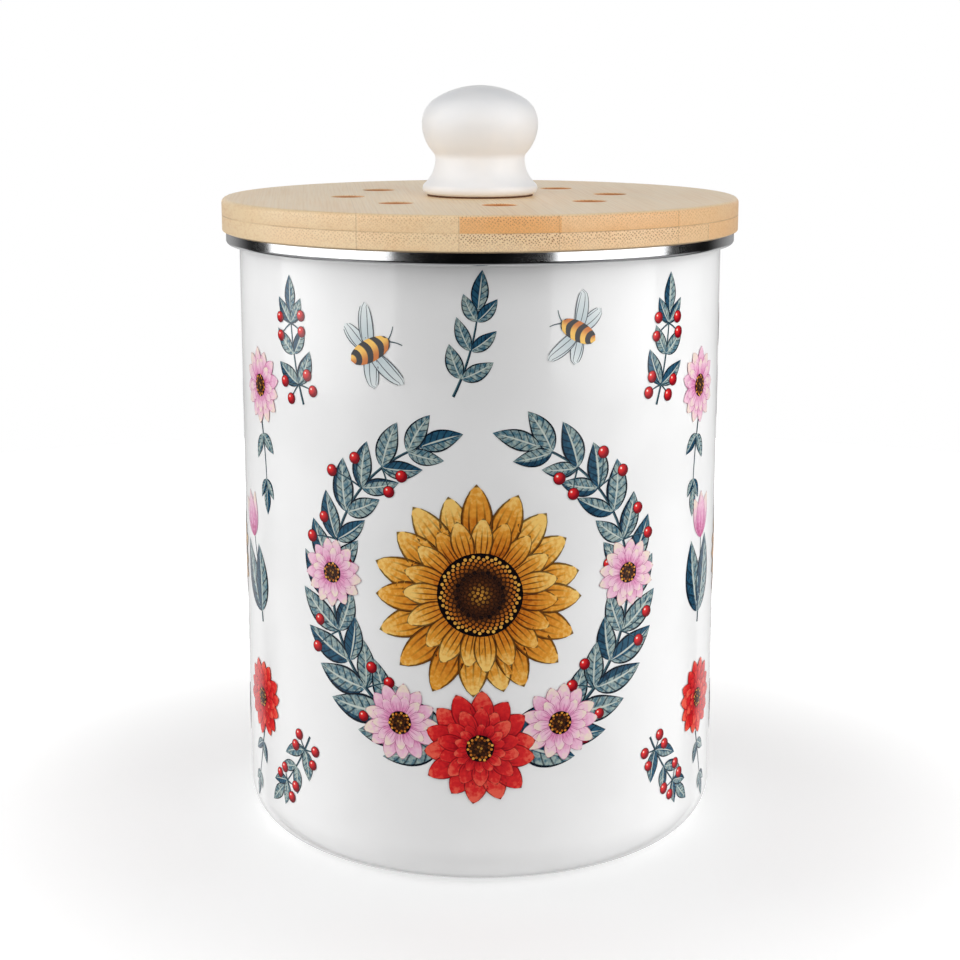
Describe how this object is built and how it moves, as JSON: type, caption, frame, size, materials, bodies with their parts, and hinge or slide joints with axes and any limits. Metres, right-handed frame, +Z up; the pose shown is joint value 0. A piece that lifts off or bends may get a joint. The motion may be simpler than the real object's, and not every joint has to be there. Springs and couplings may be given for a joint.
{
  "type": "compost caddy",
  "caption": "Round enamelled steel compost caddy with a bright rim and a lift-off vented bamboo lid with a white knob, seal and push-in charcoal filter.",
  "frame": {"origin": "middle of the foot, on the surface that the caddy stands on", "axes": "+Z up along the can's axis; -Y towards the printed front; +X to the right seen from the front"},
  "size_m": [0.17, 0.17, 0.248],
  "materials": {
    "white_enamel": "gloss white vitreous enamel on steel sheet",
    "bright_steel": "mirror-polished stainless sheet",
    "bamboo": "satin-varnished laminated bamboo",
    "silicone": "translucent white silicone",
    "knob_glaze": "gloss white glaze",
    "fibre": "dark vulcanised fibre",
    "brass": "turned",
    "screw_steel": "zinc-plated",
    "tray_plastic": "moulded, fine matte",
    "charcoal_felt": "carbon-filled needle felt"
  },
  "bodies": {
    "caddy": {"can": "white_enamel", "rim_ring": "bright_steel"},
    "lid": {"lid_upper_ply": "bamboo", "lid_lower_ply": "bamboo", "plug_ring": "bamboo", "seal_ring": "silicone", "knob": "knob_glaze", "knob_cushion": "fibre", "knob_insert": "brass", "knob_screw": "screw_steel", "knob_washer": "screw_steel"},
    "filter_tray": {"filter_holder": "tray_plastic", "carbon_filter": "charcoal_felt"}
  },
  "joints": [
    {"name": "lid_lift", "type": "slide", "parent": "caddy", "child": "lid", "axis": [0, 0, 1], "range_m": [0, 0.08]},
    {"name": "holder_pull", "type": "slide", "parent": "lid", "child": "filter_tray", "axis": [0, 0, -1], "range_m": [0, 0.03]}
  ]
}
